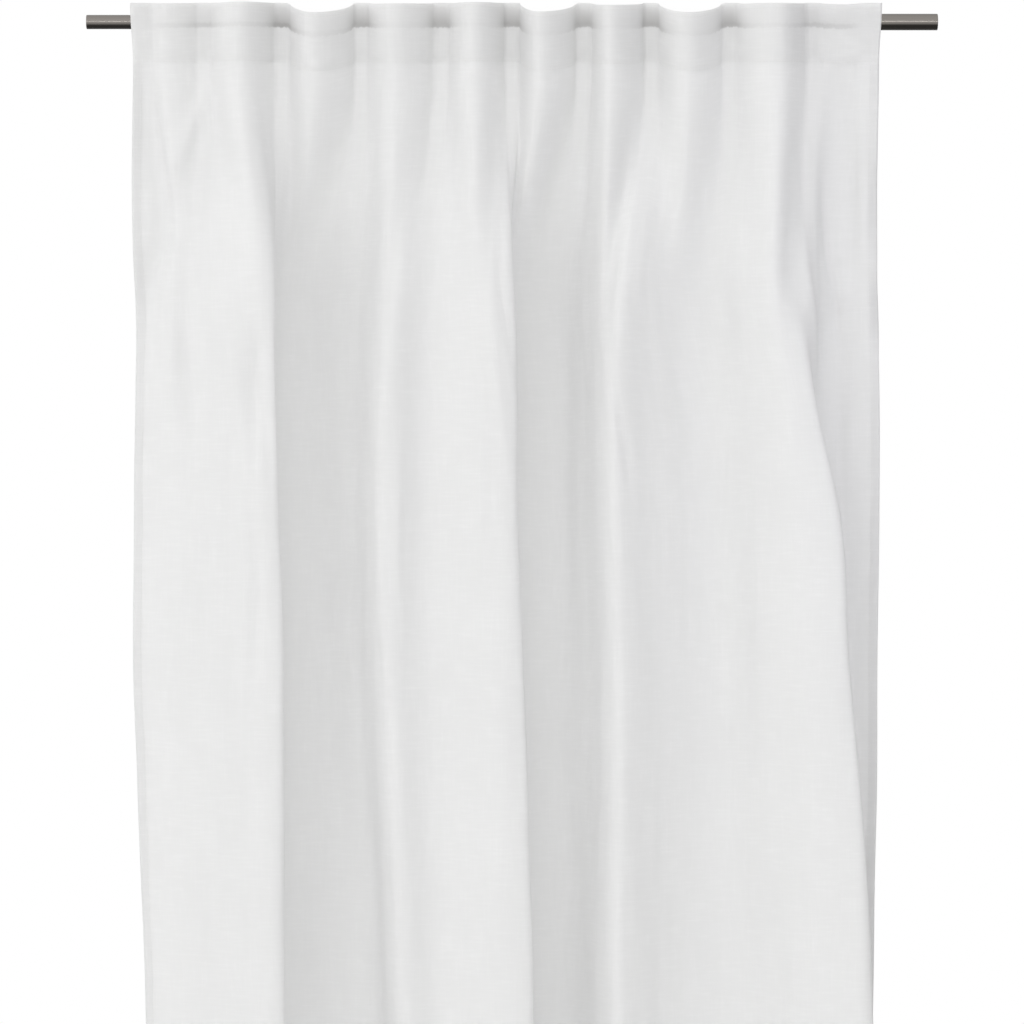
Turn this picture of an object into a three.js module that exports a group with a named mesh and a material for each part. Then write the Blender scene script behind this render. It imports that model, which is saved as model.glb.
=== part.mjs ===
// A linen curtain panel hung by hidden back tabs on a telescopic steel rod.
//
// Millimetres, +Z up, X along the rod, -Y towards the room. The origin is on the rod's axis, half way
// along the hung panel. The cloth and everything sewn to it are cut as flat strips and then hung: a
// place on the flat panel is (across from the left edge, layer depth behind the cloth's middle, height).

import * as THREE from 'three';

// Rod: an inner tube that slides in an outer tube
const outerTubeDiameter = 22;
const outerTubeWall = 1.2;
const innerTubeWall = 1;
const slideClearance = 0.3; // between the inner tube and the outer tube's bore
const rodShowsLeft = 63.5; // rod seen past the panel's left edge
const rodShowsRight = 79.5; // and past its right edge
const outerTubeStart = 40; // the outer tube's hidden end, this far left of the middle
const tubeOverlap = 160; // length of the inner tube inside the outer one
const tubeSides = 32;

// Panel
const flatWidth = 1400; // finished width of the cloth when laid flat
const hungWidth = 1001; // width it is gathered to on the rod
const finishedLength = 2500; // top edge to bottom edge
const headerRise = 24; // top edge above the rod's axis
const clothThickness = 0.6;
const layerGap = 0.3; // between sewn layers

// Heading tape, along the back of the top edge
const tapeDepth = 77;
const tapeThickness = 0.8;
const tapeInset = 4; // top edge to the tape's top, and side edge to the tape's end
const rodToTape = 0.4; // running clearance in front of the rod

// Back tabs: ribbon loops sewn to the tape, which the rod passes through
const tabWidth = 20;
const tabThickness = 0.8;
const tabInset = 15; // side edge to the middle of the end tabs, on the flat cloth and on the rod
const tabFoot = 5; // sewn length at each end of a tab
const tabFootInset = 1; // tape's top to the upper foot's end
const tabLowerFootInset = 7; // tape's bottom to the lower foot's end
const rodToTab = 0.4; // running clearance round the rod
const endBayFlat = 96; // cloth between an end tab and its neighbour, laid flat
// how far each tab has slid from even spacing, in spacings; the list's length is the number of tabs
const tabDrift = [0, -0.18, -0.1, 0, 0.1, 0.08, 0.07, 0, 0.09, 0.24, 0];

// Hems, turned to the back of the cloth
const sideHemWidth = 13;
const bottomHemDepth = 100;
const hemThickness = 1.2;

// Drop: below the tape the small bows run together into a few deep folds, [across, reach] from the left
// edge to the right. Across is in hung widths from the middle. Reach is 1 at a crest towards the room
// and -1 at the back of a recess; the depth comes from the cloth's fullness.
const dropFolds = [
  [-0.5, 0], [-0.45, 0.55], [-0.38, 0.9], [-0.315, 0.85], [-0.29, -0.4],
  [-0.245, -1], [-0.195, -0.85], [-0.155, 0.75], [-0.1, 0.35], [-0.025, 1],
  [0.022, 0.7], [0.042, -0.6], [0.09, -1], [0.128, -0.75], [0.16, 0.8],
  [0.205, 0.3], [0.25, -0.25], [0.31, 0.4], [0.385, 0.85], [0.432, 0.7],
  [0.458, -0.55], [0.5, -0.45],
];
const foldsSettled = 400; // length below the tape over which the bows become folds
const bayColumns = 6; // facets across one bow
const settlingRows = 4; // facets down the stretch where the bows become folds
const dropRows = 4; // and from there to the bottom hem

const rodRadius = outerTubeDiameter / 2;
const innerTubeDiameter = outerTubeDiameter - 2 * (outerTubeWall + slideClearance);
const panelLeft = -hungWidth / 2;
const panelRight = hungWidth / 2;
const topEdge = headerRise;
const bottomEdge = headerRise - finishedLength;
const tapeTop = topEdge - tapeInset;
const tapeBottom = tapeTop - tapeDepth;
const tapeBack = -(rodRadius + rodToTape); // the tape's back face, in front of the rod
const clothLine = tapeBack - tapeThickness - layerGap - clothThickness / 2; // Y of the cloth at a tab
const layerFront = clothThickness / 2 + layerGap; // depth where a layer behind the cloth starts
const hemTop = bottomEdge + bottomHemDepth;
const tabCount = tabDrift.length;
const tabHalf = tabWidth / 2;

// Heights of the cloth's rows of facets, from the top edge down
const rows = [
  topEdge,
  ...evenly(tapeBottom - layerGap, tapeBottom - foldsSettled, settlingRows),
  ...evenly(tapeBottom - foldsSettled, hemTop, dropRows).slice(1),
  bottomEdge,
];

// Values in even steps from one to another, both included
function evenly(from, to, steps) {
  return Array.from({ length: steps + 1 }, (_, step) => THREE.MathUtils.lerp(from, to, step / steps));
}

// Middle of tab i along the rod
function tabPlace(i) {
  const spacing = (hungWidth - 2 * tabInset) / (tabCount - 1);
  return panelLeft + tabInset + spacing * (i + tabDrift[i]);
}

// Middle of tab i on the flat cloth
function tabLine(i) {
  const last = tabCount - 1;
  if (i === 0) return tabInset;
  if (i === last) return flatWidth - tabInset;
  const spacing = (flatWidth - 2 * (tabInset + endBayFlat)) / (last - 2);
  return tabInset + endBayFlat + spacing * (i - 1);
}

// The value between low and high at which a rising function reaches a target
function solve(rising, target, low, high) {
  for (let step = 0; step < 40; step++) {
    const middle = (low + high) / 2;
    if (rising(middle) < target) low = middle;
    else high = middle;
  }
  return (low + high) / 2;
}

// A bow of cloth between two tabs: a raised cosine towards the room, as deep as its spare cloth makes it
class Bow extends THREE.Curve {
  constructor(start, end, depth) {
    super();
    this.start = start;
    this.end = end;
    this.depth = depth;
  }

  getPoint(t, target = new THREE.Vector3()) {
    const forward = (this.depth * (1 - Math.cos(2 * Math.PI * t))) / 2;
    return target.set(THREE.MathUtils.lerp(this.start, this.end, t), clothLine - forward, 0);
  }
}

// Outline of the header from above: flat at each tab, with a bow between each two
function headerOutline() {
  const outline = new THREE.CurvePath();
  const flat = (from, to) =>
    outline.add(new THREE.LineCurve3(new THREE.Vector3(from, clothLine, 0), new THREE.Vector3(to, clothLine, 0)));
  flat(panelLeft, tabPlace(0) + tabHalf);
  for (let i = 1; i < tabCount; i++) {
    const start = tabPlace(i - 1) + tabHalf;
    const end = tabPlace(i) - tabHalf;
    const cloth = tabLine(i) - tabLine(i - 1) - tabWidth;
    const depth = solve((d) => new Bow(start, end, d).getLength(), cloth, 0, cloth);
    outline.add(new Bow(start, end, depth));
    flat(end, i === tabCount - 1 ? panelRight : end + tabWidth);
  }
  return outline;
}

// Outline of the drop from above, its folds as deep as it takes to use up the flat width
function dropOutline() {
  const outline = (depth) => {
    const points = dropFolds.map(([across, reach]) => new THREE.Vector3(across * hungWidth, -reach * depth, 0));
    return new THREE.CatmullRomCurve3(points, false, 'centripetal');
  };
  return outline(solve((depth) => outline(depth).getLength(), flatWidth, 0, flatWidth / 4));
}

const header = headerOutline();
const drop = dropOutline();

// The cloth's place seen from above, at a distance across the flat cloth and a height
function clothPoint(across, height) {
  const share = THREE.MathUtils.clamp(across / flatWidth, 0, 1);
  const settled = THREE.MathUtils.smoothstep(tapeBottom - height, 0, foldsSettled);
  return header.getPointAt(share).lerp(drop.getPointAt(share), settled);
}

// A box splits its front and back along crossing diagonals. This turns the front's to match the back's,
// so that the two sides of a thin strip stay parallel where it twists.
function matchDiagonals(geometry) {
  const frontSide = geometry.groups[3];
  const index = geometry.index.array;
  for (let i = frontSide.start; i < frontSide.start + frontSide.count; i += 6) {
    const [a, b, d, , c] = index.slice(i, i + 5);
    index.set([a, b, c, a, c, d], i);
  }
}

// Hang a flat strip: columns are distances across the cloth, heights run down, and the strip lies
// between two depths behind the cloth's middle
function hang(columns, heights, front, back) {
  const columnCount = columns.length - 1;
  const rowCount = heights.length - 1;
  const geometry = new THREE.BoxGeometry(columnCount, 1, rowCount, columnCount, 1, rowCount);
  matchDiagonals(geometry);
  const place = geometry.attributes.position;
  const probe = tabHalf / 4;
  for (let i = 0; i < place.count; i++) {
    const across = columns[Math.round(place.getX(i) + columnCount / 2)];
    const height = heights[Math.round(rowCount / 2 - place.getZ(i))];
    const depth = place.getY(i) > 0 ? back : front;
    const along = clothPoint(across + probe, height).sub(clothPoint(across - probe, height)).normalize();
    const point = clothPoint(across, height);
    place.setXYZ(i, point.x - along.y * depth, point.y + along.x * depth, height);
  }
  geometry.computeVertexNormals();
  return geometry;
}

// Distances across the cloth of the facets of bay i, which lies between tab lines i and i + 1
function bayStations(i) {
  const first = i === 0;
  const last = i === tabCount - 2;
  const start = tabLine(i) + tabHalf;
  const end = tabLine(i + 1) - tabHalf;
  const stations = first ? [0, sideHemWidth] : [tabLine(i) + layerGap / 2];
  stations.push(...evenly(start, end, bayColumns));
  if (last) stations.push(flatWidth - sideHemWidth, flatWidth);
  else stations.push(tabLine(i + 1) - layerGap / 2);
  return stations;
}

const finishes = {
  linen: new THREE.MeshStandardMaterial({ color: 0xe9e9ea, roughness: 0.9, metalness: 0 }),
  tape: new THREE.MeshStandardMaterial({ color: 0xe4e3e0, roughness: 0.85, metalness: 0 }),
  ribbon: new THREE.MeshStandardMaterial({ color: 0xdedcd8, roughness: 0.85, metalness: 0 }),
  steel: new THREE.MeshStandardMaterial({ color: 0x97918b, roughness: 0.35, metalness: 1 }),
};

const curtain = new THREE.Group();

function add(name, geometry, finish) {
  const mesh = new THREE.Mesh(geometry, finishes[finish].clone());
  mesh.name = name;
  curtain.add(mesh);
  return mesh;
}

function numbered(name, i) {
  return `${name}_${String(i + 1).padStart(2, '0')}`;
}

// A tube along X between two places
function tube(from, to, outerRadius, innerRadius) {
  const length = to - from;
  const section = [
    [innerRadius, 0], [outerRadius, 0], [outerRadius, length], [innerRadius, length], [innerRadius, 0],
  ].map(([radius, along]) => new THREE.Vector2(radius, along));
  const geometry = new THREE.LatheGeometry(section, tubeSides);
  geometry.rotateZ(-Math.PI / 2);
  geometry.translate(from, 0, 0);
  return geometry;
}

function addRod() {
  const outerBore = rodRadius - outerTubeWall;
  const innerRadius = innerTubeDiameter / 2;
  const hiddenEnd = -outerTubeStart;
  add('outer_tube', tube(hiddenEnd, panelRight + rodShowsRight, rodRadius, outerBore), 'steel');
  const innerEnd = hiddenEnd + tubeOverlap;
  add('inner_tube', tube(panelLeft - rodShowsLeft, innerEnd, innerRadius, innerRadius - innerTubeWall), 'steel');
}

// Where a straight ribbon from a point meets the round of a loop; side is 1 above the rod, -1 below it
function tangentAngle(point, radius, side) {
  return Math.atan2(point.y, point.x) - side * Math.acos(radius / point.length());
}

// Middle line of a tab from its upper foot, over the rod and down its back, to its lower foot: (Y, Z)
function tabMiddleLine() {
  const footLine = tapeBack + layerGap + tabThickness / 2;
  const loopRadius = rodRadius + rodToTab + tabThickness / 2;
  const upperEnd = tapeTop - tabFootInset;
  const lowerEnd = tapeBottom + tabLowerFootInset;
  const upperPeel = new THREE.Vector2(footLine, upperEnd - tabFoot);
  const lowerPeel = new THREE.Vector2(footLine, lowerEnd + tabFoot);
  const overRod = tangentAngle(upperPeel, loopRadius, 1);
  const underRod = tangentAngle(lowerPeel, loopRadius, -1);
  const round = new THREE.EllipseCurve(0, 0, loopRadius, loopRadius, overRod, underRod, true);
  const roundSteps = 10;
  return [
    new THREE.Vector2(footLine, upperEnd),
    upperPeel,
    ...round.getPoints(roundSteps),
    lowerPeel,
    new THREE.Vector2(footLine, lowerEnd),
  ];
}

// The two sides of a ribbon of some thickness along a middle line, as one closed outline
function ribbonOutline(line, thickness) {
  const side = (offset) =>
    line.map((point, i) => {
      const before = line[Math.max(i - 1, 0)];
      const after = line[Math.min(i + 1, line.length - 1)];
      const along = after.clone().sub(before).normalize();
      return new THREE.Vector2(point.x - along.y * offset, point.y + along.x * offset);
    });
  return new THREE.Shape([...side(-thickness / 2), ...side(thickness / 2).reverse()]);
}

function addBackTabs() {
  const outline = ribbonOutline(tabMiddleLine(), tabThickness);
  for (let i = 0; i < tabCount; i++) {
    const geometry = new THREE.ExtrudeGeometry(outline, { depth: tabWidth, bevelEnabled: false });
    // the outline's (x, y) is (Y, Z), and the extrusion runs along X
    const axes = [new THREE.Vector3(0, 1, 0), new THREE.Vector3(0, 0, 1), new THREE.Vector3(1, 0, 0)];
    geometry.applyMatrix4(new THREE.Matrix4().makeBasis(...axes));
    const tab = add(numbered('back_tab', i), geometry, 'ribbon');
    tab.position.x = tabPlace(i) - tabHalf;
  }
}

function addCloth() {
  for (let i = 0; i < tabCount - 1; i++) {
    const across = bayStations(i);
    add(numbered('cloth_bay', i), hang(across, rows, -clothThickness / 2, clothThickness / 2), 'linen');
  }
}

// The tape stops short of the panel's side edges
function addHeadingTape() {
  const back = layerFront + tapeThickness;
  for (let i = 0; i < tabCount - 1; i++) {
    const across = bayStations(i).map((place) => THREE.MathUtils.clamp(place, tapeInset, flatWidth - tapeInset));
    add(numbered('heading_tape', i), hang(across, [tapeTop, tapeBottom], layerFront, back), 'tape');
  }
}

// The side hems show from the tape down to the bottom hem
function addSideHems() {
  const back = layerFront + hemThickness;
  const heights = rows.slice(1, -1);
  heights[heights.length - 1] += layerGap;
  add('side_hem_left', hang([0, sideHemWidth], heights, layerFront, back), 'linen');
  add('side_hem_right', hang([flatWidth - sideHemWidth, flatWidth], heights, layerFront, back), 'linen');
}

function addBottomHem() {
  const back = layerFront + hemThickness;
  for (let i = 0; i < tabCount - 1; i++) {
    add(numbered('bottom_hem', i), hang(bayStations(i), [hemTop, bottomEdge], layerFront, back), 'linen');
  }
}

addRod();
addBackTabs();
addCloth();
addHeadingTape();
addSideHems();
addBottomHem();

export default curtain;
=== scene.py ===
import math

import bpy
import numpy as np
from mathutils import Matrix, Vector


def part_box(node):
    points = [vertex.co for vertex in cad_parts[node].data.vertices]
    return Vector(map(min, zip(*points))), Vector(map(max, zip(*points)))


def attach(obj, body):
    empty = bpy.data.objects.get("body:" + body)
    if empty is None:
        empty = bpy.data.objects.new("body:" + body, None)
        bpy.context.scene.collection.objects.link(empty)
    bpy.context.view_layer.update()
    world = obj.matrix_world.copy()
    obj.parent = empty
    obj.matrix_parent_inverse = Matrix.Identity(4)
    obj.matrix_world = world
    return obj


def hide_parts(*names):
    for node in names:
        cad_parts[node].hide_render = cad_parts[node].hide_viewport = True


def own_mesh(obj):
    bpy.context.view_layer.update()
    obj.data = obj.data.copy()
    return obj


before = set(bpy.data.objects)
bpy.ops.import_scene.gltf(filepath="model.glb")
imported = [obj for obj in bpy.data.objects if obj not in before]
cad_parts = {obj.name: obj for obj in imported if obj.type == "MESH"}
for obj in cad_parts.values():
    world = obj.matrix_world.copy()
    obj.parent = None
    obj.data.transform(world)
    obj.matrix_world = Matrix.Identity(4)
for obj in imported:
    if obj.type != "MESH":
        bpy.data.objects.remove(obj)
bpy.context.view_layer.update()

# A linen curtain panel hung by hidden back tabs on a telescopic steel rod.
#
# Metres, +Z up, X along the rod, -Y towards the room. A place on the flat panel is how far across
# it is from the left edge, its height once hung, and how deep it lies behind the middle of the
# cloth.

MM = 0.001

FLAT_WIDTH = 1.4
CLOTH_THICKNESS = 0.6 * MM
LAYER_GAP = 0.3 * MM
TAPE_THICKNESS = 0.8 * MM
HEM_THICKNESS = 1.2 * MM
TAB_THICKNESS = 0.8 * MM
TAPE_INSET = 4 * MM  # side edge of the panel to the tape's end
SIDE_HEM = 13 * MM
TAB_INSET = 15 * MM  # side edge to the middle of the end tabs
END_BAY = 96 * MM  # cloth between an end tab and its neighbour, laid flat
TAB_GAP = 0.4 * MM  # running clearance round the rod
THREAD = 0.26 * MM  # radius of the sewing thread
STITCH = 4.2 * MM  # length of one stitch with its gap
STITCH_SHARE = 0.78  # how much of that the thread shows
THREAD_PROUD = 0.35  # how far a stitch's middle stands out of the cloth, in thread radii
TUBE_WALL = {"outer_tube": 1.2 * MM, "inner_tube": 1.0 * MM}
TUBE_LIP = 0.35 * MM  # how far the ends of the tubes are eased


def named(prefix):
    """The CAD nodes whose names start with a prefix, in order."""
    return sorted(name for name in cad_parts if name.startswith(prefix))


TABS = [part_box(name) for name in named("back_tab_")]
TAB_PLACES = np.array([(low.x + high.x) / 2 for low, high in TABS])
TAB_HALF = (TABS[0][1].x - TABS[0][0].x) / 2
TAB_LINES = np.concatenate((
    [TAB_INSET],
    np.linspace(TAB_INSET + END_BAY, FLAT_WIDTH - TAB_INSET - END_BAY, len(TABS) - 2),
    [FLAT_WIDTH - TAB_INSET],
))
HUNG_HALF = TAB_PLACES[-1] + TAB_INSET
TAPE_BOTTOM, TAPE_TOP = (corner.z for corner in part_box("heading_tape_01"))
BOTTOM_EDGE, TOP_EDGE = (corner.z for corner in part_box("cloth_bay_01"))
HEM_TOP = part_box("bottom_hem_01")[1].z
TAPE_SEAMS = (TAPE_TOP - 2.5 * MM, TAPE_BOTTOM + 3 * MM)  # heights of its two rows of stitches
SIDE_SEAM = SIDE_HEM - 1.5 * MM  # side edge to the side hem's row of stitches
HEM_SEAM = HEM_TOP - 2 * MM  # height of the bottom hem's row of stitches
SEAM_END = 2 * MM  # hem rows stop this far short of what they run up to
FOOT_FRONT = TABS[0][0].y
TAPE_FRONT = FOOT_FRONT - LAYER_GAP - TAPE_THICKNESS
CLOTH_LINE = TAPE_FRONT - LAYER_GAP - CLOTH_THICKNESS / 2  # the cloth's middle at a tab
LAYER_FRONT = CLOTH_THICKNESS / 2 + LAYER_GAP  # depth at which a layer behind the cloth starts
ROD_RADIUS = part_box("outer_tube")[1].z

# The camera looks straight at the upper half of the panel through a long lens.
VIEW_CENTRE = (8 * MM, -659 * MM)
VIEW_WIDTH = 1377.3 * MM
LENS = 135  # focal length, in mm like the sensor's width
SENSOR = 36

camera = bpy.data.objects.new("camera", bpy.data.cameras.new("camera"))
camera.data.lens = LENS
camera.data.sensor_width = SENSOR
camera.location = (VIEW_CENTRE[0], -VIEW_WIDTH * LENS / SENSOR, VIEW_CENTRE[1])
camera.rotation_euler = (math.pi / 2, 0, 0)
bpy.context.scene.collection.objects.link(camera)
bpy.context.scene.camera = camera


# ---- Curves ----

def through(knots, values, at):
    """A smooth curve through values at rising knots: cubic pieces that share their slopes."""
    knots, values = np.asarray(knots, float), np.asarray(values, float)
    steps = np.diff(knots)[:, None]
    chords = np.diff(values, axis=0) / steps
    inner = (chords[:-1] * steps[1:] + chords[1:] * steps[:-1]) / (steps[:-1] + steps[1:])
    slopes = np.vstack((chords[:1], inner, chords[-1:]))
    span = np.clip(np.searchsorted(knots, at, side="right") - 1, 0, len(knots) - 2)
    step = steps[span]
    t = (np.asarray(at)[:, None] - knots[span][:, None]) / step
    return (
        values[span] * (1 + 2 * t) * (1 - t) ** 2
        + slopes[span] * step * t * (1 - t) ** 2
        + values[span + 1] * t * t * (3 - 2 * t)
        + slopes[span + 1] * step * t * t * (t - 1)
    )


def lengths_along(line):
    """How far along a line each of its points lies."""
    return np.concatenate(([0], np.cumsum(np.linalg.norm(np.diff(line, axis=0), axis=1))))


HALVINGS = 36


def solve(rising, target, low, high):
    """The value between low and high at which a rising function reaches a target."""
    for _ in range(HALVINGS):
        middle = (low + high) / 2
        if rising(middle) < target:
            low = middle
        else:
            high = middle
    return (low + high) / 2


def ease(t):
    """From 0 to 1, starting and stopping gently."""
    t = np.clip(t, 0, 1)
    return t * t * (3 - 2 * t)


def hump(offset, width):
    """1 at no offset, and falling smoothly away over about a width on either side."""
    return np.exp(-((offset / width) ** 2))


WAVES = 7  # summed in one crumple
WAVE_TURN = 0.45  # how far a wave may slant
WAVE_PITCH = (0.7, 1.45)  # range of its pitch, as shares of the one that is asked for
WAVE_BEND = 0.6  # how far its crests wander
WAVE_PEAK = 1.6  # brings the highest crests down to about 1


def crumple(across, height, wide, tall, seed):
    """Smooth irregular waves from -1 to 1, of about a width and a tallness."""
    random = np.random.default_rng(seed)
    total = np.zeros_like(across)
    for _ in range(WAVES):
        turn = random.uniform(-WAVE_TURN, WAVE_TURN)
        phase = random.uniform(0, 2 * math.pi, 2)
        pitch = random.uniform(*WAVE_PITCH, 2)
        sideways = across / (wide * pitch[0])
        down = height / (tall * pitch[1])
        bend = WAVE_BEND * np.sin(math.pi * down + phase[1])
        total += np.sin(2 * math.pi * (sideways + turn * down) + phase[0] + bend)
    return total / math.sqrt(WAVES) / WAVE_PEAK


# ---- How the cloth hangs ----

# Bows of the header between the tabs, from left to right, in mm where nothing else is said.
BOW_LEAN = [3, 0, 7, 4, 2, 9, 8, 3, -7, 0]  # how far each leans to the left
BOW_SAG = [2, 3, 17, 5, 4, 17, 8, 17, 5, 2]  # how far its top edge sags
# How far below the tape it fades out.
BOW_REACH = [400, 340, 330, 420, 350, 320, 430, 350, 420, 400]
# How deep it is, as a share of the depth that the flat cloth would give.
BOW_FULL = [0.6, 0.85, 0.85, 0.8, 0.85, 0.9, 0.85, 0.85, 0.95, 0.05]
BOW_ROUND = (0.48, 0.42)  # roundness of a bow at the tape, on its left and its right
BOW_NARROW = 2.1  # and where it has faded out
SAG_ROUND = 0.3  # roundness of a sagging top edge
CORNER_FLARE = 4 * MM  # how far the header's corners stand out sideways
FLARE_WIDTH = 0.02
DRIFT = 3.2 * MM  # how far the folds wander sideways on their way down
DRIFT_FROM = 0.2  # how far below the tape they wander as far as that
DRIFT_WAVES = (0.5, 0.3, 41)  # width, tallness and seed

# Folds of the drop at six heights: (across, reach) for each. Across is in hung widths from the
# middle, and reach is 1 at a crest towards the room and -1 at the back of a recess.
FOLD_HEIGHTS = [-0.34, -0.5, -0.66, -0.86, -1.34, -2.48]
DROP_FOLDS = {
    "left edge": [
        (-0.499, 0.02), (-0.499, 0), (-0.5, 0), (-0.5, -0.02), (-0.484, 0.05), (-0.478, 0.1),
    ],
    "left zone": [
        (-0.45, 0.4), (-0.45, 0.42), (-0.45, 0.44), (-0.45, 0.45), (-0.44, 0.5), (-0.435, 0.55),
    ],
    "first crest": [
        (-0.37, 0.82), (-0.372, 0.8), (-0.373, 0.82), (-0.372, 0.82), (-0.367, 0.85), (-0.36, 0.8),
    ],
    "its turn": [
        (-0.305, 0.95), (-0.306, 0.92), (-0.302, 0.92), (-0.297, 0.9), (-0.296, 0.9), (-0.294, 0.9),
    ],
    "its return": [
        (-0.314, 0), (-0.321, 0), (-0.318, 0), (-0.314, 0), (-0.313, 0), (-0.31, 0),
    ],
    "behind it": [
        (-0.292, -0.85), (-0.292, -0.85), (-0.289, -0.85), (-0.285, -0.85), (-0.286, -0.85),
        (-0.285, -0.85),
    ],
    "first recess": [
        (-0.252, -1), (-0.254, -1), (-0.252, -1), (-0.25, -1), (-0.245, -1), (-0.243, -1),
    ],
    "recess side": [
        (-0.199, -0.38), (-0.205, -0.42), (-0.206, -0.46), (-0.203, -0.5), (-0.176, -0.6),
        (-0.17, -0.6),
    ],
    "second ridge": [
        (-0.152, 0.74), (-0.162, 0.74), (-0.164, 0.72), (-0.161, 0.7), (-0.137, 0.62), (-0.13, 0.6),
    ],
    "second hollow": [
        (-0.099, 0.48), (-0.106, 0.46), (-0.107, 0.46), (-0.105, 0.46), (-0.09, 0.5), (-0.085, 0.5),
    ],
    "middle crest": [
        (-0.028, 0.98), (-0.03, 0.94), (-0.026, 0.92), (-0.016, 0.9), (-0.01, 0.88), (-0.012, 0.9),
    ],
    "middle turn": [
        (0.009, 0.86), (0.014, 0.82), (0.016, 0.82), (0.025, 0.8), (0.036, 0.8), (0.038, 0.85),
    ],
    "middle return": [
        (0.001, 0), (-0.002, 0), (0, 0), (0.007, 0), (0.017, 0), (0.02, 0),
    ],
    "behind the middle": [
        (0.029, -0.8), (0.03, -0.85), (0.033, -0.85), (0.04, -0.85), (0.049, -0.85), (0.053, -0.85),
    ],
    "second recess": [
        (0.078, -1), (0.077, -1), (0.077, -1), (0.08, -1), (0.084, -1), (0.086, -1),
    ],
    "right side": [
        (0.112, -0.35), (0.105, -0.4), (0.103, -0.48), (0.109, -0.55), (0.108, -0.62),
        (0.108, -0.6),
    ],
    "right ridge": [
        (0.148, 0.78), (0.142, 0.78), (0.143, 0.74), (0.15, 0.68), (0.152, 0.56), (0.152, 0.6),
    ],
    "right slope": [
        (0.2, 0.38), (0.196, 0.28), (0.2, 0.2), (0.208, 0.02), (0.214, -0.2), (0.214, 0),
    ],
    "right hollow": [
        (0.272, -0.25), (0.288, -0.42), (0.294, -0.5), (0.298, -0.64), (0.308, -0.8), (0.302, -0.6),
    ],
    "last rise": [
        (0.316, 0.35), (0.332, 0.25), (0.34, 0.2), (0.346, 0.12), (0.36, -0.08), (0.352, 0.05),
    ],
    "last crest": [
        (0.352, 0.82), (0.372, 0.86), (0.39, 0.86), (0.403, 0.82), (0.425, 0.74), (0.42, 0.7),
    ],
    "last turn": [
        (0.382, 0.6), (0.41, 0.84), (0.443, 0.86), (0.458, 0.86), (0.491, 0.8), (0.484, 0.8),
    ],
    "last return": [
        (0.41, 0.05), (0.405, 0.22), (0.432, 0.05), (0.445, 0), (0.475, 0), (0.47, 0),
    ],
    "behind the last": [
        (0.446, -0.55), (0.436, -0.62), (0.455, -0.62), (0.466, -0.6), (0.485, -0.6), (0.478, -0.6),
    ],
    "right edge": [
        (0.499, -0.4), (0.5, -0.42), (0.502, -0.55), (0.503, -0.6), (0.499, -0.6), (0.492, -0.5),
    ],
}
OUTLINE_STEPS = 900  # places along one outline
LEVELS = 240  # outlines from the tape to the bottom edge
LEVEL_HEIGHTS = np.linspace(TAPE_BOTTOM, BOTTOM_EDGE, LEVELS)


def drop_outline(folds):
    """The drop's outline from above at one height, with folds as deep as the flat width makes them.

    Its points lie evenly along the cloth: (X, Y).
    """
    points = folds * (2 * HUNG_HALF, 1)

    def outline(depth):
        line = points * (1, -depth)
        chords = np.sqrt(np.linalg.norm(np.diff(line, axis=0), axis=1))
        knots = np.concatenate(([0], np.cumsum(chords)))
        return through(knots, line, np.linspace(0, knots[-1], OUTLINE_STEPS))

    depth = solve(lambda depth: lengths_along(outline(depth))[-1], FLAT_WIDTH, 0, FLAT_WIDTH / 4)
    line = outline(depth)
    along = lengths_along(line)
    even = np.linspace(0, along[-1], OUTLINE_STEPS)
    return np.stack([np.interp(even, along, line[:, axis]) for axis in range(2)], axis=1)


FOLD_CHART = np.array(list(DROP_FOLDS.values())).transpose(1, 0, 2)
FOLDS_BY_LEVEL = through(
    [-height for height in FOLD_HEIGHTS],
    FOLD_CHART.reshape(len(FOLD_HEIGHTS), -1),
    np.clip(-LEVEL_HEIGHTS, -FOLD_HEIGHTS[0], -FOLD_HEIGHTS[-1]),
).reshape(LEVELS, -1, 2)
DROP = np.array([drop_outline(folds) for folds in FOLDS_BY_LEVEL])


def from_drop(across, height):
    """(X, Y) of the settled folds, between the nearest outlines and places on them."""
    row = (TAPE_BOTTOM - height) / (TAPE_BOTTOM - BOTTOM_EDGE) * (LEVELS - 1)
    column = across / FLAT_WIDTH * (OUTLINE_STEPS - 1)
    row, column = np.clip(row, 0, LEVELS - 1.001), np.clip(column, 0, OUTLINE_STEPS - 1.001)
    r, c = row.astype(int), column.astype(int)
    down, right = (row - r)[..., None], (column - c)[..., None]
    upper = DROP[r, c] * (1 - right) + DROP[r, c + 1] * right
    lower = DROP[r + 1, c] * (1 - right) + DROP[r + 1, c + 1] * right
    return upper * (1 - down) + lower * down


def swell(share, roundness):
    """How far a bow stands out: 0 at its tabs, 1 at its crest. A low roundness makes it broad."""
    return ((1 - np.cos(2 * math.pi * share)) / 2) ** roundness


def bow_round(share):
    """The roundness of a bow at the tape, at a share of the way across it."""
    return np.where(share < 0.5, *BOW_ROUND)


def bow_line(start, end, depth, share):
    """(X, Y) of a bow of cloth between two tabs."""
    forward = depth * swell(share, bow_round(share))
    return np.stack((start + (end - start) * share, CLOTH_LINE - forward), axis=1)


BOW_SHARES = np.linspace(0, 1, 240)


def measured_bow(i):
    """Start, end and depth of bow i, and how far across the cloth each share of it lies."""
    start, end = TAB_PLACES[i] + TAB_HALF, TAB_PLACES[i + 1] - TAB_HALF
    cloth = TAB_LINES[i + 1] - TAB_LINES[i] - 2 * TAB_HALF

    def lengths(depth):
        return lengths_along(bow_line(start, end, depth, BOW_SHARES))

    depth = solve(lambda depth: lengths(depth)[-1], cloth, 0, cloth)
    return start, end, depth, TAB_LINES[i] + TAB_HALF + lengths(depth)


BOWS = [measured_bow(i) for i in range(len(TABS) - 1)]


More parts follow.
